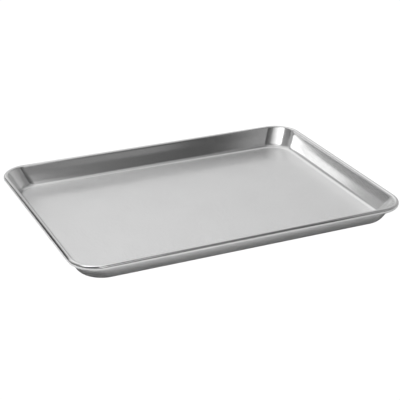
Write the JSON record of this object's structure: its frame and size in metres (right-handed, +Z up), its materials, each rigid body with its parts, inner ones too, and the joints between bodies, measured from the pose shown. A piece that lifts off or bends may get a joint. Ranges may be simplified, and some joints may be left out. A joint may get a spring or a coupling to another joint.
{
  "type": "sheet pan",
  "caption": "Shallow rectangular aluminium baking tray with sloping walls, rounded corners and a rolled rim over a steel wire; holds food flat in an oven.",
  "frame": {"origin": "on the table, under the middle of the pan's floor", "axes": "+X along the pan's long side, +Y across it towards the back, +Z up out of the pan"},
  "size_m": [0.455, 0.328, 0.028],
  "materials": {
    "aluminium_sheet": "uncoated mill finish, satin on the floor and brighter where the walls were drawn",
    "galvanised_wire": "dull zinc coating on drawn steel wire"
  },
  "bodies": {
    "root": {"pan_body": "aluminium_sheet", "rim_wire": "galvanised_wire"}
  },
  "joints": []
}
